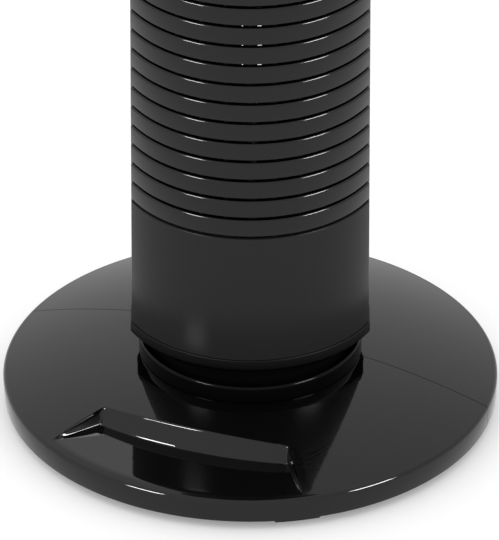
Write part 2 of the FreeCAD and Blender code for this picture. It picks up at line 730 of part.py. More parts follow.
def duct_tongue():
    """Cut-off wall on the other side of the outlet, with a rounded nose by the rotor."""
    nose = polar(BLOWER_R + 4.0, -24.0, AXIS)
    tail = (49.0, -6.6)
    span = math.hypot(tail[0] - nose[0], tail[1] - nose[1])
    ux = (tail[0] - nose[0]) / span
    uy = (tail[1] - nose[1]) / span
    half = 1.0
    corners = [V(nose[0] - uy * half, nose[1] + ux * half, 0), V(tail[0] - uy * half, tail[1] + ux * half, 0),
               V(tail[0] + uy * half, tail[1] - ux * half, 0), V(nose[0] + uy * half, nose[1] - ux * half, 0)]
    tip = V(nose[0] - ux * half, nose[1] - uy * half, 0)
    edges = [line(corners[0], corners[1]), line(corners[1], corners[2]), line(corners[2], corners[3]),
             arc(corners[3], tip, corners[0])]
    return extruded(edges, DUCT_FLOOR_Z[1], DUCT_ROOF_Z[0])


# ---------------------------------------------------------------- head and controls

def key_spots():
    middle = (len(KEYS) - 1) / 2
    return [((index - middle) * KEY_PITCH, KEY_Y) for index in range(len(KEYS))]


def top_cap():
    """Lid of the column, with a flat deck sunk for the control panel."""
    body = column_prism(HOUSING_TOP, CAP_TOP, 0.0)
    body = body.makeFillet(5.0, [edge for edge in body.Edges if edge.BoundBox.ZMin > CAP_TOP - 0.01])
    hollow = column_prism(HOUSING_TOP - 1, CAP_TOP - 3.0, SHELL)
    lip = column_wall(HOUSING_TOP - 4.0, HOUSING_TOP + 2.0, SHELL + 0.2, SHELL + 2.0)
    root = column_wall(HOUSING_TOP, HOUSING_TOP + 2.0, SHELL - 0.8, SHELL + 2.0)
    body = body.cut(hollow).fuse([lip, root]).removeSplitter()
    deck = column_prism(CAP_TOP - 1.4, CAP_TOP + 1, 8.0)
    window = column_prism(CAP_TOP - 10, CAP_TOP + 1, 11.0)
    return body.cut(deck).cut(window)


def control_panel():
    plate = column_prism(CAP_TOP - 1.4, CAP_TOP + 0.4, 8.2)
    stiff = column_wall(CAP_TOP - 6.0, CAP_TOP - 1.0, 11.2, 13.0)
    plate = plate.fuse(stiff)
    cuts = []
    for x, y in key_spots():
        cuts.append(block(x - KEY_SIZE[0] / 2 - 0.4, x + KEY_SIZE[0] / 2 + 0.4,
                          y - KEY_SIZE[1] / 2 - 0.4, y + KEY_SIZE[1] / 2 + 0.4, CAP_TOP - 5, CAP_TOP + 2))
    cuts.append(disc(5.0, CAP_TOP - 10, CAP_TOP + 5, (0, KNOB_Y)))
    return plate.cut(cuts[0].multiFuse(cuts[1:]))


def key_piece(x, y):
    half_x = KEY_SIZE[0] / 2
    half_y = KEY_SIZE[1] / 2
    cap = block(x - half_x, x + half_x, y - half_y, y + half_y, CAP_TOP - 6.0, KEY_TOP_Z)
    cap = cap.makeFillet(1.0, [edge for edge in cap.Edges if edge.BoundBox.ZMax > KEY_TOP_Z - 0.01])
    stem = block(x - 3.0, x + 3.0, y - 1.5, y + 1.5, SWITCH_TOP_Z - 3.0, CAP_TOP - 5.0)
    return cap.fuse(stem).removeSplitter()


def key_switch_block():
    body = block(-40.0, 40.0, KEY_Y - 8.0, KEY_Y + 7.0, 712.0, SWITCH_TOP_Z)
    well_z = (SWITCH_TOP_Z - 8.0, SWITCH_TOP_Z + 1)
    wells = [block(x - 3.5, x + 3.5, y - 2.0, y + 2.0, *well_z) for x, y in key_spots()]
    pins = [block(x - 1.0, x + 1.0, KEY_Y - 0.3, KEY_Y + 0.3, 706.0, 712.5) for x, y in key_spots()]
    return body.cut(wells[0].multiFuse(wells[1:])).fuse(pins)


def timer_body():
    body = block(-16.0, 16.0, KNOB_Y - 14.0, KNOB_Y + 12.0, 714.0, 733.0)
    neck = disc(5.0, 732.0, 738.0, (0, KNOB_Y))
    body = body.fuse(neck).removeSplitter()
    return body.cut(disc(3.0 + RUNNING_GAP, 725.0, 740.0, (0, KNOB_Y)))


def timer_shaft():
    return disc(3.0, 726.0, FAN_TOP - 4.0, (0, KNOB_Y))


def timer_knob():
    """Round knob with finger flutes and a raised pointer on its crown."""
    z0 = CAP_TOP + 1.0
    body = disc(KNOB_R, z0, FAN_TOP - 0.8, (0, KNOB_Y))
    body = body.makeFillet(2.0, [edge for edge in body.Edges if edge.BoundBox.ZMin > FAN_TOP - 1])
    spots = [polar(KNOB_R + 0.45, 20.0 * index, (0, KNOB_Y)) for index in range(18)]
    flutes = [disc(1.1, z0 + 2.0, FAN_TOP + 1, spot) for spot in spots]
    body = body.cut(flutes[0].multiFuse(flutes[1:]))
    pointer = block(-0.9, 0.9, KNOB_Y - KNOB_R + 3.0, KNOB_Y - 3.0, FAN_TOP - 2.0, FAN_TOP)
    body = body.fuse(pointer).removeSplitter()
    return body.cut(disc(3.0, z0 - 1, FAN_TOP - 4.0, (0, KNOB_Y)))


# ---------------------------------------------------------------- wiring

def loom_down():
    return (-51.2, 3.0)


def wiring_loom():
    """Bundle of leads from the key switch down the column's side to the motor."""
    x, y = loom_down()
    route = [V(-30, KEY_Y + 4, 709.0), V(-34, KEY_Y + 6, 702), V(x + 2, y - 6, 692), V(x, y, 676),
             V(x, y, 107.2), V(x + 4, y - 1, 101.4), V(-41, 0, 100.6)]
    edges = []
    here = route[0]
    radii = []
    for index in range(1, len(route) - 1):
        before = route[index - 1] - route[index]
        after = route[index + 1] - route[index]
        run = min(before.Length, after.Length)
        turn = math.pi - before.getAngle(after)
        cut = 0.45 * run
        radius = cut / math.tan(turn / 2)
        radii.append(round(radius, 1))
        start = route[index] + before.normalize() * cut
        end = route[index] + after.normalize() * cut
        towards = (start + end) * 0.5 - route[index]
        middle = route[index] + towards.normalize() * radius * (1 / math.cos(turn / 2) - 1)
        edges.append(line(here, start))
        edges.append(arc(start, middle, end))
        here = end
    edges.append(line(here, route[-1]))
    path = Part.Wire(edges)
    print("loom bend radii", radii, "length", round(path.Length))
    first = (route[1] - route[0]).normalize()
    circle = Part.Wire(Part.makeCircle(LOOM_R, route[0], first))
    tube = path.makePipeShell([circle], True, True, 1)
    print("loom volume", round(tube.Volume), "expected", round(path.Length * math.pi * LOOM_R ** 2))
    return tube


# ---------------------------------------------------------------- write every piece

os.makedirs("parts", exist_ok=True)

front_half, rear_half = base_halves()
BASE_PIECES = {
    "base_front_half": front_half,
    "base_rear_half": rear_half,
    "base_collar": base_collar(),
    "foot_pads": foot_pads(),
    "turntable_plate": turntable_plate(),
    "thrust_washer": thrust_washer(),
    "swivel_retainer": swivel_retainer(),
    "oscillation_arm": oscillation_arm(),
    "arm_screws": arm_screws(),
    "base_screws": base_screws(),
}
for name, shape in BASE_PIECES.items():
    save(name, turned(shape, BASE_TURN))

COLUMN_PIECES = {
    "column_floor": column_floor(),
    "bottom_skirt": bottom_skirt(),
    "lower_front_cover": front_cover(SKIRT_Z[1], GRILLE_Z0, [SCREW_SPOTS[0]]),
    "front_grille": front_grille(),
    "head_front_cover": front_cover(GRILLE_TOP, HOUSING_TOP, SCREW_SPOTS[1:]),
    "rear_housing": rear_housing(),
    "housing_screws": housing_screws(),
    "carry_handle": carry_handle(),
    "cord_gland": cord_gland(),
    "oscillation_bracket": oscillation_bracket(),
    "bracket_screws": bracket_screws(),
    "oscillation_motor": oscillation_motor(),
    "motor_deck": motor_deck(),
    "motor_grommets": motor_grommets(),
    "motor_lower_shield": end_shield(70.4, 87.8),
    "motor_upper_shield": end_shield(105.6, 88.2),
    "motor_stator": motor_stator(),
    "motor_windings": motor_windings(),
    "motor_screws": motor_screws(),
    "capacitor": capacitor(),
    "duct_floor": duct_floor(),
    "duct_roof": duct_roof(),
    "duct_scroll": duct_scroll(),
    "duct_tongue": duct_tongue(),
    "upper_bush": upper_bush(),
    "bearing_cap": bearing_cap(),
    "top_cap": top_cap(),
    "control_panel": control_panel(),
    "key_switch_block": key_switch_block(),
    "timer_body": timer_body(),
    "wiring_loom": wiring_loom(),
}
TURNING_PIECES = {
    "crank_disc": crank_disc(),
    "crank_roller": crank_roller(),
    "crank_shaft": crank_shaft(),
    "blower_segments": blower_segments(),
    "blower_end_disc": blower_end_disc(),
    "blower_top_pin": blower_top_pin(),
    "blower_hub": blower_hub(),
    "motor_shaft": motor_shaft(),
    "motor_rotor": motor_rotor(),
    "timer_knob": timer_knob(),
    "timer_shaft": timer_shaft(),
}
for group in (COLUMN_PIECES, TURNING_PIECES):
    for name, shape in group.items():
        save(name, shape)

for name, spot in zip(KEYS, key_spots()):
    save(name, key_piece(*spot))
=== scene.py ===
import math

import bmesh
import bpy
from mathutils import Matrix, Vector


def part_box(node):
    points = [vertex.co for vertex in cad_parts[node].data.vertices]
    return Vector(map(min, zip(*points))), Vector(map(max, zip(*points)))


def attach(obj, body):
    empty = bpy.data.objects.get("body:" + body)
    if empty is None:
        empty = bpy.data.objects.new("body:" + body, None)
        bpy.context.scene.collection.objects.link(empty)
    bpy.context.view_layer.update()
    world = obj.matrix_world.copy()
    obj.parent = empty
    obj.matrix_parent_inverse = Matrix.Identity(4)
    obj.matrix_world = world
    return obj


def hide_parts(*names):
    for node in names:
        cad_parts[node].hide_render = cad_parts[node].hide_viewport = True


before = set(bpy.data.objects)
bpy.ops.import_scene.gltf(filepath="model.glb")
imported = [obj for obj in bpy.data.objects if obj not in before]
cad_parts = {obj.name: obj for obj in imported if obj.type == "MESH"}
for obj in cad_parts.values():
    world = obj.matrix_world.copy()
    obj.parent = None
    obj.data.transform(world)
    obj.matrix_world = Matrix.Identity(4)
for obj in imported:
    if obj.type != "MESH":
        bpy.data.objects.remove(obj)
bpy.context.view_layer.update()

# ------------------------------------------------------------------ camera
# The fan stands on the floor and is seen from the front and above through a long lens,
# which takes in the base and the lower column.

LOOK_UP = math.radians(31.7)
CAMERA_AWAY = 6.0
LENS = 825.0
AIM_SIDE = -0.0004
AIM_ABOVE_BASE = 0.0423
AIM = Vector((AIM_SIDE, 0.0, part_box("base_front_half")[1].z + AIM_ABOVE_BASE))

eye = bpy.data.cameras.new("camera")
eye.lens = LENS
eye.sensor_width = 36.0
eye.clip_start = 0.1
eye.clip_end = 100.0
camera = bpy.data.objects.new("camera", eye)
bpy.context.scene.collection.objects.link(camera)
back = Vector((0.0, -math.cos(LOOK_UP), math.sin(LOOK_UP)))
camera.location = AIM + back * CAMERA_AWAY
camera.rotation_mode = "QUATERNION"
camera.rotation_quaternion = (-back).to_track_quat("-Z", "Y")
bpy.context.scene.camera = camera


# ------------------------------------------------------------------ studio
# A wide pale floor that glows a little, a white room that is brighter on the left, and
# two soft boxes hung in front of the fan, one on each side, that show only as glints.

class Value:
    """A shader output. Sums with it add Math nodes, so a mask is written as an expression."""

    def __init__(self, finish, socket):
        self.finish = finish
        self.socket = socket

    def maths(self, operation, first, second, clamp=False):
        settings = {"operation": operation, "use_clamp": clamp}
        return self.finish.node("ShaderNodeMath", settings, {0: first, 1: second})

    def __add__(self, other):
        return self.maths("ADD", self, other)

    def __radd__(self, other):
        return self.maths("ADD", other, self)

    def __sub__(self, other):
        return self.maths("SUBTRACT", self, other)

    def __rsub__(self, other):
        return self.maths("SUBTRACT", other, self)

    def __mul__(self, other):
        return self.maths("MULTIPLY", self, other)

    def __rmul__(self, other):
        return self.maths("MULTIPLY", other, self)

    def over(self, low, high):
        """0 where the value is under low, 1 where it is over high."""
        return self.maths("MULTIPLY", self - low, 1.0 / (high - low), clamp=True)


class Finish:
    """A material being mixed: one Principled shader and the nodes that feed it."""

    def __init__(self, name, **uniform):
        self.material = bpy.data.materials.new(name)
        self.material.use_nodes = True
        self.tree = self.material.node_tree
        self.shader = self.tree.nodes["Principled BSDF"]
        for label, value in uniform.items():
            self.shader.inputs[label.replace("_", " ")].default_value = value

    def node(self, kind, settings, inputs, output=0):
        made = self.tree.nodes.new(kind)
        for label, value in settings.items():
            setattr(made, label, value)
        for label, value in inputs.items():
            if isinstance(value, Value):
                self.tree.links.new(value.socket, made.inputs[label])
            else:
                made.inputs[label].default_value = value
        return Value(self, made.outputs[output])

    def place(self, stretch=(1.0, 1.0, 1.0), turn=(0.0, 0.0, 0.0)):
        where = self.node("ShaderNodeTexCoord", {}, {}, "Object")
        return self.node("ShaderNodeMapping", {}, {"Vector": where, "Scale": stretch, "Rotation": turn})

    def noise(self, where, scale, detail=2.0):
        return self.node("ShaderNodeTexNoise", {}, {"Vector": where, "Scale": scale, "Detail": detail})

    def blend(self, mask, low, high):
        """A colour that goes from low to high with the mask."""
        settings = {"data_type": "RGBA"}
        return self.node("ShaderNodeMix", settings, {0: mask, 6: low, 7: high}, 2)

    def feed(self, label, value):
        self.tree.links.new(value.socket, self.shader.inputs[label])

    def bump(self, height, depth, strength=1.0):
        made = self.node("ShaderNodeBump", {}, {"Height": height, "Distance": depth, "Strength": strength})
        self.feed("Normal", made)


FLOOR_REACH = 60.0
FLOOR_GLOW = 0.22

floor_finish = Finish("studio_floor", Roughness=0.9)
floor_finish.shader.inputs["Specular IOR Level"].default_value = 0.1
floor_finish.shader.inputs["Emission Color"].default_value = (1.0, 1.0, 1.0, 1.0)
floor_finish.shader.inputs["Emission Strength"].default_value = FLOOR_GLOW
patches = floor_finish.noise(floor_finish.place(), 1.3)
floor_finish.feed("Base Color", floor_finish.blend(patches, (0.82, 0.82, 0.82, 1), (0.84, 0.84, 0.84, 1)))
floor_mesh = bpy.data.meshes.new("floor")
corners = [(-FLOOR_REACH, -FLOOR_REACH, 0), (FLOOR_REACH, -FLOOR_REACH, 0),
           (FLOOR_REACH, FLOOR_REACH, 0), (-FLOOR_REACH, FLOOR_REACH, 0)]
floor_mesh.from_pydata(corners, [], [(0, 1, 2, 3)])
floor_mesh.materials.append(floor_finish.material)
floor = bpy.data.objects.new("floor", floor_mesh)
bpy.context.scene.collection.objects.link(floor)

ROOM_LEFT = 1.18
ROOM_RIGHT = 1.02

room = bpy.data.worlds.new("room")
room.use_nodes = True
bpy.context.scene.world = room
nodes = room.node_tree.nodes
links = room.node_tree.links
heading = nodes.new("ShaderNodeTexCoord")
parts = nodes.new("ShaderNodeSeparateXYZ")
spread = nodes.new("ShaderNodeMapRange")
spread.inputs["From Min"].default_value = -0.8
spread.inputs["From Max"].default_value = 0.6
spread.inputs["To Min"].default_value = ROOM_LEFT
spread.inputs["To Max"].default_value = ROOM_RIGHT
links.new(heading.outputs["Generated"], parts.inputs[0])
links.new(parts.outputs["X"], spread.inputs["Value"])
links.new(spread.outputs[0], nodes["Background"].inputs["Strength"])
nodes["Background"].inputs["Color"].default_value = (1.0, 1.0, 1.0, 1.0)
bpy.context.scene.view_settings.view_transform = "Standard"


BOX_AWAY = 2.0
BOX_HEIGHT = 0.36
BOX_AIM = Vector((0.0, 0.0, 0.15))


def soft_box(name, towards, width, power):
    """An area light that hangs in the given direction from the fan and shows only in its gloss."""
    lamp = bpy.data.lights.new(name, "AREA")
    lamp.shape = "RECTANGLE"
    lamp.size = width
    lamp.size_y = BOX_HEIGHT
    lamp.energy = power
    hung = bpy.data.objects.new(name, lamp)
    bpy.context.scene.collection.objects.link(hung)
    aim = Vector(towards).normalized()
    hung.location = BOX_AIM + aim * BOX_AWAY
    hung.visible_diffuse = False
    hung.rotation_mode = "QUATERNION"
    hung.rotation_quaternion = aim.to_track_quat("Z", "Y")


soft_box("soft_box_left", (-0.650, -0.546, 0.530), 0.52, 34.0)
soft_box("soft_box_right", (0.727, -0.437, 0.530), 0.64, 42.0)


# ------------------------------------------------------------------ domed base
# Two halves moulded in gloss black, screwed together round the neck. The skin is a
# shallow dome with a rounded rim, and the front half has a sunken panel with sloping
# walls. Ribs stiffen it from below.

MM = 0.001
BASE_TURN = math.radians(-21.5)
SEAM_BACK = 9.9 * MM
WALL = 2.6 * MM
SEAM_HALF = 0.175 * MM
WELL_R = 51.0 * MM
LEDGE_R = 30.0 * MM
LEDGE_Z = (19.4 * MM, 22.0 * MM)
RIM_R = 120.4 * MM
RIM_FOOT_R = 120.0 * MM
RIM_WALL_TOP = 14.4 * MM
RIM_KNEE = (119.95 * MM, 15.5 * MM)
RIM_INNER_TOP = 12.8 * MM
RIM_EDGE = 0.4 * MM
DOME_EDGE_R = 118.4 * MM
DOME_EDGE_Z = 16.4 * MM
DOME_TOP_R = 54.6 * MM
DOME_MID = (87.0 * MM, 24.8 * MM)
PANEL_FLOOR_Z = 17.2 * MM
PANEL_HALF = math.radians(34.0)
PANEL_INNER = 76.5 * MM
PANEL_EDGE_R = 200.0 * MM
PANEL_WALL_RUN = 5.0 * MM
PANEL_WALL_TOP = 27.4 * MM
PANEL_SIDE_RUN = 2.0 * MM
PANEL_FOOT_ROUND = 0.25 * MM
PANEL_LIP_ROUND = 0.5 * MM
# Distances outward from the sunken panel's inner edge at which the skin has a ring of points, in mm.
PANEL_RINGS = (-2.0, -1.0, -0.5, -0.1, 0.3, 0.6, 0.9, 1.2, 1.5, 1.9,
               2.4, 3.0, 3.6, 4.1, 4.5, 4.9, 5.3, 5.9, 6.8)
base_low, base_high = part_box("base_front_half")
DOME_TOP_Z = base_high.z
RIM_FOOT_Z = base_low.z


def circle_through(a, b, c):
    """Centre and radius of the circle through three points of a section."""
    ax, ay = a
    bx, by = b
    cx, cy = c
    a_square = ax ** 2 + ay ** 2
    b_square = bx ** 2 + by ** 2
    c_square = cx ** 2 + cy ** 2
    d = 2 * (ax * (by - cy) + bx * (cy - ay) + cx * (ay - by))
    ux = (a_square * (by - cy) + b_square * (cy - ay) + c_square * (ay - by)) / d
    uy = (a_square * (cx - bx) + b_square * (ax - cx) + c_square * (bx - ax)) / d
    return ux, uy, math.hypot(ax - ux, ay - uy)


DOME = circle_through((DOME_TOP_R, DOME_TOP_Z), DOME_MID, (DOME_EDGE_R, DOME_EDGE_Z))
SHOULDER = circle_through((DOME_EDGE_R, DOME_EDGE_Z), RIM_KNEE, (RIM_R, RIM_WALL_TOP))


def eased_min(a, b, soft):
    """The lower of two heights, with the corner between them rounded."""
    share = max(0.0, min(1.0, 0.5 + 0.5 * (b - a) / soft))
    return b + (a - b) * share - soft * share * (1 - share)


def eased_max(a, b, soft):
    return -eased_min(-a, -b, soft)


def dome_height(r):
    """Height of the plain dome at a radius. It is level where the collar stands."""
    if r <= DOME_TOP_R:
        return DOME_TOP_Z
    cx, cz, radius = DOME
    return cz + math.sqrt(max(radius ** 2 - (r - cx) ** 2, 0.0))


def panel_edge(angle):
    """How far out the sunken panel's inner edge is, at an angle from the base's front."""
    angle = max(-PANEL_HALF, min(PANEL_HALF, angle))
    pivot = PANEL_EDGE_R - PANEL_INNER
    along = math.cos(angle)
    return -pivot * along + math.sqrt(PANEL_EDGE_R ** 2 - (pivot * math.sin(angle)) ** 2)


def base_height(r, angle, inside):
    """Height of the base's skin, at an angle from its front and a distance inside the panel's side."""
    dome = dome_height(r)
    if inside <= 0.0:
        return dome
    ahead = math.hypot(r * math.sin(angle), r * math.cos(angle) + PANEL_EDGE_R - PANEL_INNER) - PANEL_EDGE_R
    wall = PANEL_WALL_TOP - ahead * (PANEL_WALL_TOP - PANEL_FLOOR_Z) / PANEL_WALL_RUN
    sunk = eased_min(dome, eased_max(PANEL_FLOOR_Z, wall, PANEL_FOOT_ROUND), PANEL_LIP_ROUND)
    share = min(inside / PANEL_SIDE_RUN, 1.0)
    return dome + (sunk - dome) * share * share * (3.0 - 2.0 * share)


def radial_stops(angle):
    """Radii of the rings of points over the dome, close together at the panel's edge."""
    edge = panel_edge(angle)
    stops = [WELL_R + 0.3 * MM, DOME_TOP_R - 0.4 * MM, DOME_TOP_R + 0.4 * MM]
    inner = edge + PANEL_RINGS[0] * MM
    stops += [DOME_TOP_R + (inner - DOME_TOP_R) * step / 10 for step in range(1, 10)]
    stops += [edge + step * MM for step in PANEL_RINGS]
    outer = edge + PANEL_RINGS[-1] * MM
    stops += [outer + (DOME_EDGE_R - outer) * step / 30 for step in range(1, 31)]
    return stops


def base_section(angle, shift, sunken):
    """The closed cross-section of a half along a line beside a radius, as (radius, height) points."""
    skin = []
    for r in radial_stops(angle):
        turn = abs(angle) - shift / r
        inside = r * math.sin(PANEL_HALF - turn) if sunken and turn < math.pi / 2 else 0.0
        skin.append((r, base_height(r, turn, inside)))
    lean = WALL * 0.35 / (DOME_EDGE_R - DOME_TOP_R)
    under = [(r - lean * (r - DOME_TOP_R), z - WALL) for r, z in skin[3:]]
    cx, cz, radius = SHOULDER
    shoulder = []
    start = math.atan2(DOME_EDGE_Z - cz, DOME_EDGE_R - cx)
    finish = math.atan2(RIM_WALL_TOP - cz, RIM_R - cx)
    for step in range(1, 9):
        turn = start + (finish - start) * step / 8
        shoulder.append((cx + radius * math.cos(turn), cz + radius * math.sin(turn)))
    rim = [(RIM_FOOT_R + RIM_EDGE * 0.2, RIM_FOOT_Z + RIM_EDGE * 1.6),
           (RIM_FOOT_R - RIM_EDGE * 0.4, RIM_FOOT_Z),
           (RIM_FOOT_R - WALL + RIM_EDGE * 0.4, RIM_FOOT_Z),
           (RIM_FOOT_R - WALL, RIM_FOOT_Z + RIM_EDGE),
           (RIM_R - WALL, RIM_INNER_TOP)]
    well = [(WELL_R + WALL, DOME_TOP_Z - WALL), (WELL_R + WALL, LEDGE_Z[0]), (LEDGE_R, LEDGE_Z[0]),
            (LEDGE_R, LEDGE_Z[1]), (WELL_R, LEDGE_Z[1]), (WELL_R, DOME_TOP_Z - 0.3 * MM)]
    return skin + shoulder + rim + under[::-1] + well


def piece(name, points, faces, finish, slot, body, sharp=35.0):
    """A finished mesh object that rides on a body, shaded smooth but for its sharp edges."""
    mesh = bpy.data.meshes.new(name)
    mesh.from_pydata(points, [], faces)
    made = bpy.data.objects.new(name, mesh)
    bpy.context.scene.collection.objects.link(made)
    return finished(made, finish, body, sharp)


def finished(made, finish, body, sharp=35.0):
    """Faces outwards, material, shading and body for an object whose mesh is done."""
    shape = bmesh.new()
    shape.from_mesh(made.data)
    bmesh.ops.remove_doubles(shape, verts=shape.verts, dist=1e-6)
    bmesh.ops.recalc_face_normals(shape, faces=shape.faces)
    shape.to_mesh(made.data)
    shape.free()
    made.data.materials.clear()
    made.data.materials.append(finish.material)
    made.data.shade_smooth()
    made.data.set_sharp_from_angle(angle=math.radians(sharp))
    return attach(made, body)


def gloss_black(name, rough, peel=1.0, tone=0.0014, ior=1.4):
    """Polished black plastic: orange peel, hairline scratches and a little fine dust."""
    finish = Finish(name, IOR=ior)
    where = finish.place()
    cloud = finish.noise(where, 16.0, 3.0)
    grain = finish.noise(where, 1500.0, 1.0)
    hair = finish.noise(finish.place((60.0, 1400.0, 500.0), (0.3, 0.2, 0.6)), 1.0, 2.0)
    scratch = hair.over(0.70, 0.76)
    dust = finish.noise(where, 2600.0, 0.0).over(0.80, 0.86) * cloud.over(0.45, 0.65)
    finish.feed("Base Color", finish.blend(dust * 0.35, (tone, tone, tone * 1.03, 1), (0.09, 0.09, 0.088, 1)))
    finish.feed("Roughness", rough + cloud * 0.03 + scratch * 0.16 + dust * 0.4)
    waves = finish.noise(where, 420.0, 2.0) + grain * 0.35
    finish.bump(waves, 0.000012 * peel)
    return finish


base_gloss = gloss_black("gloss_black_base", 0.03, 0.6)


BASE_LINES = 400
SIDE_LINE_GAP = 0.13 * MM
SIDE_LINES_REACH = 0.05
MIDDLE_R = 90.0 * MM


def base_lines(sunken):
    """The lines out from the axis that carry the skin's points, as (angle, sideways shift).

    Plain ones are radii. Along each side of the sunken panel they run parallel to the side."""
    lines = [(2 * math.pi * step / BASE_LINES - math.pi, 0.0) for step in range(BASE_LINES)]
    if sunken:
        lines = [line for line in lines if abs(abs(line[0]) - PANEL_HALF) > SIDE_LINES_REACH]
        lines += [(way * PANEL_HALF, step * SIDE_LINE_GAP) for way in (-1, 1) for step in range(-6, 18)]
    return sorted(lines, key=lambda line: line[0] - math.copysign(line[1] / MIDDLE_R, line[0]))


def base_half(name, side, sunken):
    """One half, cut off square along the seam: the front one has side -1, the rear one 1."""
    shape = bmesh.new()
    columns = []
    for angle, shift in base_lines(sunken):
        column = []
        for r, z in base_section(angle, shift, sunken):
            turn = angle - math.copysign(shift / r, angle) - math.pi / 2
            column.append(shape.verts.new((r * math.cos(turn), r * math.sin(turn), z)))
        columns.append(column)
    for column, this in enumerate(columns):
        beside = columns[(column + 1) % len(columns)]
        for row in range(len(this)):
            below = (row + 1) % len(this)
            shape.faces.new((this[row], this[below], beside[below], beside[row]))
    whole = shape.verts[:] + shape.edges[:] + shape.faces[:]
    cut = bmesh.ops.bisect_plane(shape, geom=whole, dist=1e-7, clear_inner=True, plane_no=(0.0, side, 0.0),
                                 plane_co=(0.0, SEAM_BACK + side * SEAM_HALF, 0.0))
    seam = [item for item in cut["geom_cut"] if isinstance(item, bmesh.types.BMEdge)]
    bmesh.ops.triangle_fill(shape, use_beauty=True, edges=seam)
    bmesh.ops.transform(shape, matrix=Matrix.Rotation(BASE_TURN, 4, "Z"), verts=shape.verts[:])
    mesh = bpy.data.meshes.new(name)
    shape.to_mesh(mesh)
    shape.free()
    made = bpy.data.objects.new(name, mesh)
    bpy.context.scene.collection.objects.link(made)
    return finished(made, base_gloss, "base")


front = base_half("base_front_shell", -1, True)
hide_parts("base_front_half")
rear = base_half("base_rear_shell", 1, False)
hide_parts("base_rear_half")



def round_tree():
    """Node tree that repeats a shape round the swivel axis, a fixed turn apart."""
    tree = bpy.data.node_groups.new("repeat_round", "GeometryNodeTree")
    for label, kind in (("Shape", "Geometry"), ("Count", "Int"), ("First Turn", "Float"), ("Turn", "Float"),
                        ("Material", "Material")):
        tree.interface.new_socket(name=label, in_out="INPUT", socket_type="NodeSocket" + kind)
    tree.interface.new_socket(name="Result", in_out="OUTPUT", socket_type="NodeSocketGeometry")
    add = tree.nodes.new
    join = tree.links.new
    given = add("NodeGroupInput")
    result = add("NodeGroupOutput")
    spots = add("GeometryNodeMeshLine")
    spots.inputs["Offset"].default_value = (0.0, 0.0, 0.0)
    join(given.outputs["Count"], spots.inputs["Count"])
    copies = add("GeometryNodeInstanceOnPoints")
    join(spots.outputs[0], copies.inputs["Points"])
    join(given.outputs["Shape"], copies.inputs["Instance"])
    index = add("GeometryNodeInputIndex")
    times = add("ShaderNodeMath")
    times.operation = "MULTIPLY_ADD"
    join(index.outputs[0], times.inputs[0])
    join(given.outputs["Turn"], times.inputs[1])
    join(given.outputs["First Turn"], times.inputs[2])
    about = add("ShaderNodeCombineXYZ")
    join(times.outputs[0], about.inputs["Z"])
    spin = add("GeometryNodeRotateInstances")
    spin.inputs["Local Space"].default_value = False
    join(copies.outputs[0], spin.inputs["Instances"])
    join(about.outputs[0], spin.inputs["Rotation"])
    real = add("GeometryNodeRealizeInstances")
    join(spin.outputs[0], real.inputs[0])
    coat = add("GeometryNodeSetMaterial")
    join(real.outputs[0], coat.inputs["Geometry"])
    join(given.outputs["Material"], coat.inputs["Material"])
    join(coat.outputs[0], result.inputs[0])
    return tree


def repeated(name, tree, points, faces, **values):
    """An object whose mesh is a small shape repeated by a node tree."""
    mesh = bpy.data.meshes.new(name)
    mesh.from_pydata(points, [], faces)
    made = bpy.data.objects.new(name, mesh)
    bpy.context.scene.collection.objects.link(made)
    step = made.modifiers.new("repeat", "NODES")
    step.node_group = tree
    for item in tree.interface.items_tree:
        label = item.name.replace(" ", "_").lower()
        if item.in_out == "INPUT" and label in values:
            step[item.identifier] = values[label]
    return made


def made_plain(made):
    """The object with its modifiers worked into its mesh."""
    graph = bpy.context.evaluated_depsgraph_get()
    mesh = bpy.data.meshes.new_from_object(made.evaluated_get(graph))
    made.modifiers.clear()
    made.data = mesh
    mesh.name = made.name
    return made


def box_shape(low, high):
    """Corner points and faces of a plate or bar, outward."""
    points = [(x, y, z) for x in (low[0], high[0]) for y in (low[1], high[1]) for z in (low[2], high[2])]
    faces = [(0, 1, 3, 2), (4, 6, 7, 5), (0, 4, 5, 1), (2, 3, 7, 6), (0, 2, 6, 4), (1, 5, 7, 3)]
    return points, faces


RIB_HALF = 0.9 * MM
RIB_FOOT_Z = 9.0 * MM
rib_in = WELL_R + WALL - 0.3 * MM
rib_foot = [(rib_in, RIB_FOOT_Z), (115.0 * MM, RIB_FOOT_Z)]
rib_outer_top = [(112.5 * MM, 15.3 * MM), (104.0 * MM, 17.7 * MM), (94.0 * MM, 20.3 * MM),
                 (82.0 * MM, 23.1 * MM)]
rib_inner_top = [(70.0 * MM, 25.5 * MM), (60.0 * MM, 27.1 * MM), (rib_in, 27.8 * MM)]
under_panel = [(114.0 * MM, 14.8 * MM), (81.0 * MM, 14.8 * MM), (75.0 * MM, 24.4 * MM)]


def thin_plate(outline):
    """An upright plate along +X with the given (x, z) outline."""
    points = [(r, side, z) for side in (-RIB_HALF, RIB_HALF) for r, z in outline]
    count = len(outline)
    faces = [tuple(range(count)), tuple(range(2 * count - 1, count - 1, -1))]
    return points, faces + [(a, a + count, (a + 1) % count + count, (a + 1) % count) for a in range(count)]


RIB_FIRST = 22.5
tall_rib = rib_foot + rib_outer_top + rib_inner_top
low_rib = rib_foot + under_panel + rib_inner_top
for name, outline, count, first, turn in (("base_ribs", tall_rib, 4, RIB_FIRST, 45.0),
                                          ("base_side_ribs", tall_rib, 2, RIB_FIRST + 180.0, 135.0),
                                          ("panel_ribs", low_rib, 2, RIB_FIRST + 225.0, 45.0)):
    ribs = repeated(name, round_tree(), *thin_plate(outline), count=count,
                    first_turn=BASE_TURN + math.radians(first),
                    turn=math.radians(turn), material=base_gloss.material)
    made_plain(ribs)
    finished(ribs, base_gloss, "base")


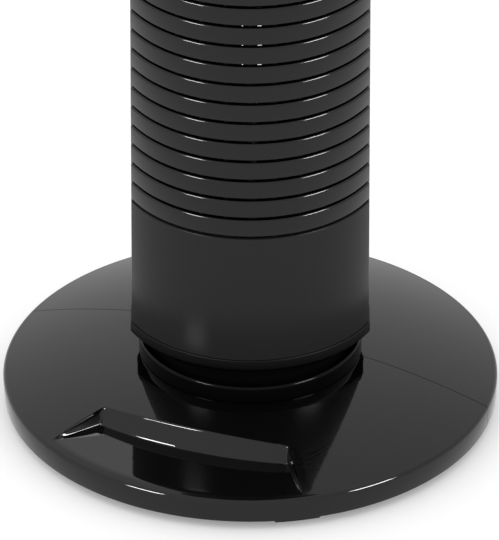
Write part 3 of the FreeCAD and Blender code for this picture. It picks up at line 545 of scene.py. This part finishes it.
# ------------------------------------------------------------------ collar, skirt and feet
# A loose ring with a rounded bead hides the joint round the neck. A satin band closes
# the column's lower end. Six rubber pads sit on moulded seats just inside the rim.

def satin_black(name, tone=0.004, rough=0.42, grain=2600.0, ior=1.38):
    """Spark-textured black plastic, dull with a fine even grain."""
    finish = Finish(name, IOR=ior)
    where = finish.place()
    spark = finish.noise(where, grain, 2.0)
    cloud = finish.noise(where, 22.0, 2.0)
    pale = tone * 1.5
    finish.feed("Base Color", finish.blend(cloud, (tone, tone, tone, 1), (pale, pale, pale, 1)))
    finish.feed("Roughness", rough + spark * 0.12 + cloud * 0.06)
    finish.bump(spark, 0.00004)
    return finish


def rubber(name):
    """Matt black rubber with a slightly chalky, pitted skin."""
    finish = Finish(name, IOR=1.45)
    where = finish.place()
    pits = finish.noise(where, 1900.0, 3.0)
    bloom = finish.noise(where, 60.0, 3.0).over(0.35, 0.75)
    finish.feed("Base Color", finish.blend(bloom, (0.012, 0.012, 0.012, 1), (0.045, 0.044, 0.042, 1)))
    finish.feed("Roughness", 0.62 + pits * 0.25)
    finish.bump(pits, 0.00008)
    return finish


def gathered(shapes):
    """Several (points, faces) shapes as one."""
    points = []
    faces = []
    for corners, sides in shapes:
        faces += [tuple(corner + len(points) for corner in side) for side in sides]
        points += corners
    return points, faces


def turned_ring(name, section, segments, finish, slot, body, centre=(0.0, 0.0), reach=None):
    """A closed section of (radius, height) points turned all the way round an upright axis."""
    points = []
    faces = []
    rows = len(section)
    for column in range(segments):
        angle = 2 * math.pi * column / segments
        for r, z in section:
            far = r if reach is None else reach(r, z, angle)
            points.append((centre[0] + far * math.cos(angle), centre[1] + far * math.sin(angle), z))
        first = column * rows
        beside = (column + 1) % segments * rows
        for row in range(rows):
            below = (row + 1) % rows
            faces.append((first + row, first + below, beside + below, beside + row))
    return piece(name, points, faces, finish, slot, body)


def bow(cx, cz, radius, first, last, steps):
    """Points of an arc in a section, from one angle to another in degrees."""
    turns = [math.radians(first + (last - first) * step / steps) for step in range(steps + 1)]
    return [(cx + radius * math.cos(turn), cz + radius * math.sin(turn)) for turn in turns]


collar_low, collar_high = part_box("base_collar")
COLLAR_IN = WELL_R - 0.6 * MM
COLLAR_OUT = DOME_TOP_R - 0.4 * MM
BEAD = 1.2 * MM
bead_z = collar_high.z - BEAD
collar_section = [(COLLAR_IN, collar_low.z), (COLLAR_OUT - 0.3 * MM, collar_low.z),
                  (COLLAR_OUT, collar_low.z + 0.3 * MM)]
collar_section += bow(COLLAR_OUT - BEAD, bead_z, BEAD, 0, 180, 14)
collar_section += [(COLLAR_IN, collar_high.z - 2.0 * MM)]
collar_gloss = gloss_black("gloss_black_collar", 0.08, 0.6, 0.0008, 1.18)
collar = turned_ring("collar_bead", collar_section, 160, collar_gloss, "gloss_black", "base")
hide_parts("base_collar")

PAD_ANGLES = (33.0, 105.0, 150.0, 210.0, 255.0, 327.0)
PAD_R = (107.0 * MM, 114.5 * MM)
SEAT_R = (106.5 * MM, 115.0 * MM)
SEAT_FOOT = RIM_FOOT_Z + 0.1 * MM
SEAT_TOP = 15.6 * MM
PAD_SPAN = 11.0
SEAT_SPAN = 12.0
PAD_STEPS = 12


def set_round(section, span):
    """A closed (radius, height) section carried over a short span at each foot's place."""
    blocks = []
    rows = len(section)
    for degrees in PAD_ANGLES:
        points = []
        faces = []
        middle = math.radians(degrees) + BASE_TURN - math.pi / 2
        for column in range(PAD_STEPS + 1):
            angle = middle + math.radians(span) * (column / PAD_STEPS - 0.5)
            points += [(r * math.cos(angle), r * math.sin(angle), z) for r, z in section]
        for column in range(PAD_STEPS):
            for row in range(rows):
                a = column * rows + row
                b = column * rows + (row + 1) % rows
                faces.append((a, b, b + rows, a + rows))
        faces.append(tuple(range(rows - 1, -1, -1)))
        faces.append(tuple(range(PAD_STEPS * rows, PAD_STEPS * rows + rows)))
        blocks.append((points, faces))
    return gathered(blocks)


soft_rubber = rubber("soft_rubber")
inner, outer = PAD_R
pad_section = [(inner, 0.7 * MM), (inner + 0.2 * MM, 0.2 * MM), (inner + 0.7 * MM, 0.0),
               (outer - 0.7 * MM, 0.0), (outer - 0.2 * MM, 0.2 * MM), (outer, 0.7 * MM),
               (outer, RIM_FOOT_Z), (inner, RIM_FOOT_Z)]
pads = piece("rubber_feet", *set_round(pad_section, PAD_SPAN), soft_rubber, "rubber_black", "base", 50.0)
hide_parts("foot_pads")
inner, outer = SEAT_R
seat_section = [(inner, SEAT_FOOT), (outer, SEAT_FOOT), (outer, SEAT_TOP), (inner, SEAT_TOP)]
piece("foot_seats", *set_round(seat_section, SEAT_SPAN), base_gloss, "gloss_black", "base", 50.0)


COLUMN_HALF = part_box("rear_housing")[1].x
FRONT_R = 64.0 * MM
REAR_R = 62.5 * MM
FRONT_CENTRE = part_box("lower_front_cover")[0].y + FRONT_R
REAR_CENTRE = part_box("top_cap")[1].y - REAR_R
SPLIT_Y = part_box("lower_front_cover")[1].y
FRONT_STEPS = 26
CORNER_STEPS = 7
INNER_EDGE = 0.2 * MM


def quarter(inset, front):
    """The column's outline on the +X side, from the middle of its front or back to its side."""
    half = COLUMN_HALF - inset
    radius = (FRONT_R if front else REAR_R) - inset
    corner = max(2.0 * MM - inset, 0.4 * MM) if front else max(10.0 * MM - inset, 2.0 * MM)
    way = -1.0 if front else 1.0
    centre = FRONT_CENTRE if front else REAR_CENTRE
    corner_y = centre + way * math.sqrt((radius - corner) ** 2 - (half - corner) ** 2)
    reach = math.asin((half - corner) / (radius - corner))
    turns = [reach * step / FRONT_STEPS for step in range(FRONT_STEPS + 1)]
    points = [(radius * math.sin(turn), centre + way * radius * math.cos(turn)) for turn in turns]
    turns = [reach + (math.pi / 2 - reach) * step / CORNER_STEPS for step in range(1, CORNER_STEPS + 1)]
    points += [(half - corner + corner * math.sin(turn), corner_y + way * corner * math.cos(turn))
               for turn in turns]
    return points


def front_path(inset):
    """The outline's front part, from the split on the -X side to the split on the +X side."""
    right = quarter(inset, True)
    left = [(-x, y) for x, y in right[:0:-1]]
    half = COLUMN_HALF - inset
    return [(-half, SPLIT_Y)] + left + right + [(half, SPLIT_Y)]


def whole_path(inset):
    """The whole outline as a loop."""
    front_right = quarter(inset, True)
    rear_right = quarter(inset, False)[::-1]
    rear_left = [(-x, y) for x, y in rear_right[-2::-1]]
    front_left = [(-x, y) for x, y in front_right[:0:-1]]
    return front_right + rear_right + rear_left + front_left


def wrapped(section, path, closed):
    """Points and faces of a section, (inset, height) points, carried along a path round the column."""
    lanes = [path(inset) for inset, z in section]
    rows = len(section)
    stops = len(lanes[0])
    points = [(*lanes[row][stop], section[row][1]) for stop in range(stops) for row in range(rows)]
    faces = []
    for stop in range(stops if closed else stops - 1):
        beside = (stop + 1) % stops
        for row in range(rows):
            below = (row + 1) % rows
            faces.append((stop * rows + row, beside * rows + row, beside * rows + below, stop * rows + below))
    if not closed:
        last = (stops - 1) * rows
        faces.append(tuple(range(rows)))
        faces.append(tuple(range(last + rows - 1, last - 1, -1)))
    return points, faces


def plate_section(z0, z1, wall, top, foot):
    """Section of an upright wall whose two outer edges are rounded, as (inset, height) points."""
    turns = [math.radians(a) for a in range(0, 91, 15)]
    section = [(top - top * math.sin(turn), z1 - top + top * math.cos(turn)) for turn in turns]
    section += [(foot - foot * math.cos(turn), z0 + foot - foot * math.sin(turn)) for turn in turns]
    inner = wall - INNER_EDGE
    return section + [(inner, z0), (wall, z0 + INNER_EDGE), (wall, z1 - INNER_EDGE), (inner, z1)]


skirt_satin = satin_black("skirt_satin", 0.0012, 0.35, ior=1.22)
skirt_low, skirt_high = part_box("bottom_skirt")
SKIRT_PROUD = 0.6 * MM
SKIRT_WALL = 3.6 * MM
skirt_plate = plate_section(skirt_low.z, skirt_high.z, SKIRT_WALL, 0.5 * MM, 0.8 * MM)
skirt_section = [(inset - SKIRT_PROUD, z) for inset, z in skirt_plate]
skirt = piece("skirt_band", *wrapped(skirt_section, whole_path, True), skirt_satin, "satin_black", "column")
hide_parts("bottom_skirt")


# ------------------------------------------------------------------ front covers and ribs
# Gloss black mouldings clipped round the column's front: a plain lower cover, the air
# outlet with its level ribs on upright bars, and a plain cover at the head.

column_gloss = gloss_black("gloss_black_column", 0.22, 1.4, 0.0190, 1.2)
for node, name in (("lower_front_cover", "lower_cover"), ("head_front_cover", "head_cover")):
    low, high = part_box(node)
    shape = wrapped(plate_section(low.z, high.z, WALL, 0.6 * MM, 0.4 * MM), front_path, False)
    cover = piece(name, *shape, column_gloss, "gloss_black", "column")
    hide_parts(node)

PITCH = 10.7 * MM
GROOVE = 1.5 * MM
lower_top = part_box("lower_front_cover")[1].z
head_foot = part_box("head_front_cover")[0].z
RIB_COUNT = round((head_foot - lower_top - GROOVE) / PITCH)


def line_tree():
    """Node tree that repeats a shape a fixed step apart."""
    tree = bpy.data.node_groups.new("repeat_line", "GeometryNodeTree")
    for label, kind in (("Shape", "Geometry"), ("Count", "Int"), ("Step", "Vector"),
                        ("Material", "Material")):
        tree.interface.new_socket(name=label, in_out="INPUT", socket_type="NodeSocket" + kind)
    tree.interface.new_socket(name="Result", in_out="OUTPUT", socket_type="NodeSocketGeometry")
    add = tree.nodes.new
    join = tree.links.new
    given = add("NodeGroupInput")
    result = add("NodeGroupOutput")
    spots = add("GeometryNodeMeshLine")
    join(given.outputs["Count"], spots.inputs["Count"])
    join(given.outputs["Step"], spots.inputs["Offset"])
    copies = add("GeometryNodeInstanceOnPoints")
    join(spots.outputs[0], copies.inputs["Points"])
    join(given.outputs["Shape"], copies.inputs["Instance"])
    real = add("GeometryNodeRealizeInstances")
    join(copies.outputs[0], real.inputs[0])
    coat = add("GeometryNodeSetMaterial")
    join(real.outputs[0], coat.inputs["Geometry"])
    join(given.outputs["Material"], coat.inputs["Material"])
    join(coat.outputs[0], result.inputs[0])
    return tree


rib_gloss = gloss_black("gloss_black_ribs", 0.09, 1.2, 0.0014, 1.38)
rib_z = lower_top + GROOVE
rib_section = plate_section(rib_z, rib_z + PITCH - GROOVE, WALL, 1.3 * MM, 0.5 * MM)
ribs = repeated("outlet_ribs", line_tree(), *wrapped(rib_section, front_path, False), count=RIB_COUNT,
                step=(0.0, 0.0, PITCH), material=rib_gloss.material)
made_plain(ribs)
finished(ribs, rib_gloss, "column")
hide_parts("front_grille")

BAR_GAP = 11.6 * MM
BAR_DEPTH = (2.2 * MM, 8.5 * MM)
bar_low = lower_top - 5.0 * MM
bar_high = head_foot + 5.0 * MM


def bar_ends(x):
    """Where a bar's front and back edges lie, at a distance from the middle."""
    return [FRONT_CENTRE - math.sqrt((FRONT_R - depth) ** 2 - x ** 2) for depth in BAR_DEPTH]


BAR_HALF = 1.0 * MM
TAB_HALF = 0.8 * MM
FRAME_X = (50.6 * MM, 54.4 * MM)
FRAME_FRONT = -9.0 * MM
bar_satin = satin_black("bar_satin", 0.0015, 0.5)
bars = []
for index in range(-4, 5):
    x = index * BAR_GAP
    near, far = bar_ends(abs(x))
    far = min(far, SPLIT_Y - 0.2 * MM)
    bars.append(box_shape((x - BAR_HALF, near, lower_top + 0.1 * MM),
                          (x + BAR_HALF, far, head_foot - 0.1 * MM)))
    for z0, z1 in ((bar_low, lower_top + 0.3 * MM), (head_foot - 0.3 * MM, bar_high)):
        bars.append(box_shape((x - TAB_HALF, near + 1.2 * MM, z0), (x + TAB_HALF, far - 0.2 * MM, z1)))
for side in (-1.0, 1.0):
    x0, x1 = sorted((side * FRAME_X[0], side * FRAME_X[1]))
    bars.append(box_shape((x0, FRAME_FRONT, lower_top + 0.3 * MM),
                          (x1, SPLIT_Y - 0.2 * MM, head_foot - 0.3 * MM)))
piece("outlet_bars", *gathered(bars), bar_satin, "gloss_black", "column")


# ------------------------------------------------------------------ rear housing
# The back shell, moulded in one gloss black piece with air inlet slots, a cup for the
# hand near the top, a rubber gland low down and six screws in deep wells.


def coat(finish, *names):
    """Gives carried-over frame pieces a finish."""
    for name in names:
        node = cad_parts[name]
        node.data.materials.clear()
        node.data.materials.append(finish.material)


def steel(name, tone, rough, brush):
    """Plated or ground steel with a fine directional grain."""
    finish = Finish(name, Metallic=1.0)
    lines = finish.noise(finish.place(brush), 1.0, 3.0)
    stains = finish.noise(finish.place(), 70.0, 3.0)
    dark = tuple(part * 0.72 for part in tone)
    finish.feed("Base Color", finish.blend(stains, (*dark, 1), (*tone, 1)))
    finish.feed("Roughness", rough + lines * 0.14 + stains * 0.06)
    finish.bump(lines, 0.00001)
    return finish


coat(column_gloss, "rear_housing")
cup_satin = satin_black("cup_satin", 0.012, 0.45)
coat(cup_satin, "carry_handle")
coat(soft_rubber, "cord_gland")
screw_steel = steel("black_zinc_screw", (0.16, 0.16, 0.17), 0.32, (900.0, 900.0, 900.0))
coat(screw_steel, "motor_shaft", "housing_screws", "base_screws", "arm_screws", "bracket_screws",
     "motor_screws")


# ------------------------------------------------------------------ head and controls
# A lid with a rounded edge, a satin panel let into it, five keys that press down and a
# fluted timer knob. Marks are printed in pale paint.

cap_low, cap_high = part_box("top_cap")
CAP_ROUND = 5.0 * MM
LIP = 2.8 * MM
LID_RIM = 8.0 * MM
LID_THICK = 3.0 * MM
DECK_EDGE = 11.0 * MM
deck_z = cap_high.z - 1.4 * MM
cap_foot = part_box("rear_housing")[1].z
cap_inner = LIP + 1.8 * MM
cap_section = [(LID_RIM, cap_high.z)]
for a in range(0, 91, 10):
    turn = math.radians(a)
    drop = CAP_ROUND - CAP_ROUND * math.cos(turn)
    cap_section.append((CAP_ROUND - CAP_ROUND * math.sin(turn), cap_high.z - drop))
cap_section += [(0.0, cap_foot + 0.3 * MM), (0.3 * MM, cap_foot), (LIP, cap_foot), (LIP, cap_low.z),
                (cap_inner, cap_low.z), (cap_inner, cap_high.z - LID_THICK),
                (DECK_EDGE, cap_high.z - LID_THICK), (DECK_EDGE, deck_z), (LID_RIM, deck_z)]
cap = piece("top_lid", *wrapped(cap_section, whole_path, True), column_gloss, "gloss_black", "column")
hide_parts("top_cap")

panel_satin = satin_black("panel_satin", 0.016, 0.38)
coat(panel_satin, "control_panel")
key_grey = satin_black("key_grey", 0.22, 0.40)
knob_satin = satin_black("knob_satin", 0.014, 0.34)


def pale_paint():
    """Pad-printed pale grey marks, a little worn."""
    finish = Finish("pale_print", Roughness=0.55)
    worn = finish.noise(finish.place(), 1800.0, 2.0).over(0.3, 0.75)
    finish.feed("Base Color", finish.blend(worn, (0.72, 0.72, 0.70, 1), (0.50, 0.50, 0.49, 1)))
    return finish


print_paint = pale_paint()


def key_shape(low, high):
    """A key top with rounded edges and a shallow dish for the finger."""
    shape = bmesh.new()
    middle = (low + high) / 2
    half = (high - low) / 2
    steps = 14
    rows = []
    for row in range(steps + 1):
        for column in range(steps + 1):
            u = column / steps * 2 - 1
            v = row / steps * 2 - 1
            dish = 0.7 * MM * (1 - u * u) * (1 - v * v)
            edge = max(abs(u), abs(v))
            fall = 1.1 * MM * max(0.0, (edge - 0.86) / 0.14) ** 2
            rows.append(shape.verts.new((middle.x + u * half.x, middle.y + v * half.y, high.z - dish - fall)))
    for row in range(steps):
        for column in range(steps):
            a = row * (steps + 1) + column
            shape.faces.new((rows[a], rows[a + 1], rows[a + steps + 2], rows[a + steps + 1]))
    rim = [edge for edge in shape.edges if edge.is_boundary]
    skirt = bmesh.ops.extrude_edge_only(shape, edges=rim)
    walls = [item for item in skirt["geom"] if isinstance(item, bmesh.types.BMVert)]
    for corner in walls:
        corner.co.z = low.z
    bmesh.ops.contextual_create(shape, geom=[edge for edge in shape.edges if edge.is_boundary])
    uprights = [edge for edge in shape.edges
                if abs(edge.verts[0].co.z - edge.verts[1].co.z) > 3 * MM
                and abs(abs(edge.verts[0].co.x - middle.x) - half.x) < 1e-5
                and abs(abs(edge.verts[0].co.y - middle.y) - half.y) < 1e-5]
    bmesh.ops.bevel(shape, geom=uprights, offset=1.2 * MM, segments=4, affect="EDGES", clamp_overlap=True)
    return shape


KEYS = ("key_off", "key_low", "key_medium", "key_high", "key_swing")
KEY_FOOT = 6.0 * MM
for name in KEYS:
    low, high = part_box(name)
    cap_part = key_shape(Vector((low.x, low.y, cap_high.z - KEY_FOOT)), high)
    middle = (low + high) / 2
    stem, sides = box_shape((middle.x - 3.0 * MM, middle.y - 1.5 * MM, low.z),
                            (middle.x + 3.0 * MM, middle.y + 1.5 * MM, cap_high.z - KEY_FOOT + 0.5 * MM))
    corners = [cap_part.verts.new(corner) for corner in stem]
    for side in sides:
        cap_part.faces.new([corners[corner] for corner in side])
    mesh = bpy.data.meshes.new(name + "_cap")
    cap_part.to_mesh(mesh)
    cap_part.free()
    key = bpy.data.objects.new(name + "_cap", mesh)
    bpy.context.scene.collection.objects.link(key)
    finished(key, key_grey, name)
    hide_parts(name)

knob_low, knob_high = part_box("timer_knob")
KNOB_SPOT = ((knob_low.x + knob_high.x) / 2, (knob_low.y + knob_high.y) / 2)
KNOB_R = (knob_high.x - knob_low.x) / 2
FLUTES = 18
crown = knob_high.z - 0.8 * MM


def fluted(r, z, angle):
    """Pulls the knob's side in along each finger flute."""
    if r < KNOB_R - 2.5 * MM or z < knob_low.z + 1.5 * MM:
        return r
    dip = max(0.0, math.cos(angle * FLUTES)) ** 3
    return r - 0.7 * MM * dip


knob_section = [(3.0 * MM, knob_low.z), (KNOB_R - 0.3 * MM, knob_low.z), (KNOB_R, knob_low.z + 0.3 * MM),
                (KNOB_R, knob_low.z + 1.6 * MM), (KNOB_R, knob_low.z + 2.2 * MM)]
knob_section += [(KNOB_R - 0.2 * MM, crown - 2.2 * MM)]
knob_section += bow(KNOB_R - 2.2 * MM, crown - 2.0 * MM, 2.0 * MM, 0, 90, 6)
knob_section += [(KNOB_R - 5.0 * MM, crown - 0.25 * MM), (KNOB_R - 9.0 * MM, crown - 0.45 * MM),
                 (3.0 * MM, crown - 0.5 * MM)]
knob = turned_ring("knob_body", knob_section, 216, knob_satin, "satin_black", "knob", KNOB_SPOT, fluted)
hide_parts("timer_knob")
PLUG_HALF = 3.4 * MM
plug = box_shape((-PLUG_HALF, KNOB_SPOT[1] - PLUG_HALF, knob_low.z + 6.0 * MM),
                 (PLUG_HALF, KNOB_SPOT[1] + PLUG_HALF, crown - 0.52 * MM))
pointer = box_shape((-0.8 * MM, knob_low.y + 2.6 * MM, crown - 1.0 * MM),
                    (0.8 * MM, KNOB_SPOT[1] - 3.0 * MM, crown + 0.1 * MM))
piece("knob_plug", *plug, knob_satin, "satin_black", "knob")
piece("knob_pointer", *pointer, print_paint, "key_grey", "knob")

TICKS = 9
TICK_SWEEP = 300.0
TICK_REACH = (1.4 * MM, 3.6 * MM)
TICK_SUNK = 0.2 * MM
TICK_PROUD = 0.05 * MM


def tick(index):
    """One printed stroke of the timer's scale. The first one, at off, is the widest."""
    turn = math.radians(-90.0 - TICK_SWEEP * index / (TICKS - 1))
    out = Vector((math.cos(turn), math.sin(turn), 0.0))
    across = Vector((-out.y, out.x, 0.0)) * (0.3 * MM if index else 0.6 * MM)
    near, far = (Vector((*KNOB_SPOT, 0.0)) + out * (KNOB_R + reach) for reach in TICK_REACH)
    outline = [near - across, far - across, far + across, near + across]
    panel_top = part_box("control_panel")[1].z
    points = [(*corner.xy, z) for z in (panel_top - TICK_SUNK, panel_top + TICK_PROUD) for corner in outline]
    return points, [(3, 2, 1, 0), (4, 5, 6, 7), (0, 1, 5, 4), (1, 2, 6, 5), (2, 3, 7, 6), (3, 0, 4, 7)]


piece("dial_ticks", *gathered(tick(index) for index in range(TICKS)), print_paint, "key_grey", "column")

bright_steel = steel("ground_steel", (0.70, 0.70, 0.71), 0.16, (60.0, 60.0, 2400.0))
coat(bright_steel, "timer_shaft", "crank_shaft", "blower_top_pin")


# ------------------------------------------------------------------ neck, drive and motor
# What the column hides: the floor that turns on the base's post, the slotted arm and
# crank that swing it, the motor on rubber grommets, and the blower in its duct.

# The neck and the parts inside the column get a near-black tone with almost no gloss, darker than black
# plastic. It is painted shade for the gap under the column and the dark interior seen through the outlet.
neck_satin = satin_black("neck_satin", 0.0008, 0.6, ior=1.08)
coat(neck_satin, "column_floor", "turntable_plate", "motor_deck", "duct_floor", "duct_roof", "duct_scroll",
     "duct_tongue", "key_switch_block", "timer_body", "bearing_cap", "capacitor")
zinc = steel("zinc_plate", (0.60, 0.61, 0.62), 0.30, (300.0, 300.0, 60.0))
coat(zinc, "swivel_retainer", "oscillation_arm", "oscillation_bracket", "motor_lower_shield",
     "motor_upper_shield", "motor_rotor", "motor_stator", "oscillation_motor")


def nylon():
    """Natural nylon, milky and faintly mottled."""
    finish = Finish("nylon", IOR=1.53)
    cloud = finish.noise(finish.place(), 160.0, 3.0)
    finish.feed("Base Color", finish.blend(cloud, (0.74, 0.72, 0.64, 1), (0.84, 0.83, 0.77, 1)))
    finish.feed("Roughness", 0.35 + cloud * 0.2)
    return finish


def enamelled_copper():
    """Windings of enamelled wire, laid side by side and varnished."""
    finish = Finish("enamelled_copper", Metallic=0.85)
    settings = {"wave_type": "RINGS", "rings_direction": "Z"}
    turns = finish.node("ShaderNodeTexWave", settings, {"Vector": finish.place(), "Scale": 500.0}, 1)
    finish.feed("Base Color", finish.blend(turns, (0.30, 0.09, 0.03, 1), (0.72, 0.30, 0.10, 1)))
    finish.feed("Roughness", 0.22 + turns * 0.15)
    finish.bump(turns, 0.00012)
    return finish


def sintered_bronze():
    """Oil-soaked bronze bush with open pores."""
    finish = Finish("sintered_bronze", Metallic=1.0)
    pores = finish.noise(finish.place(), 2200.0, 3.0).over(0.35, 0.6)
    finish.feed("Base Color", finish.blend(pores, (0.28, 0.17, 0.08, 1), (0.62, 0.42, 0.22, 1)))
    finish.feed("Roughness", 0.5 - pores * 0.15)
    finish.bump(pores, 0.00004)
    return finish


coat(nylon(), "thrust_washer", "crank_disc", "crank_roller")
coat(enamelled_copper(), "motor_windings")
coat(sintered_bronze(), "upper_bush")
coat(soft_rubber, "motor_grommets", "blower_hub")
coat(satin_black("blower_plastic", 0.05, 0.42), "blower_segments", "blower_end_disc")
coat(satin_black("lead_sleeve", 0.30, 0.55, 900.0), "wiring_loom")
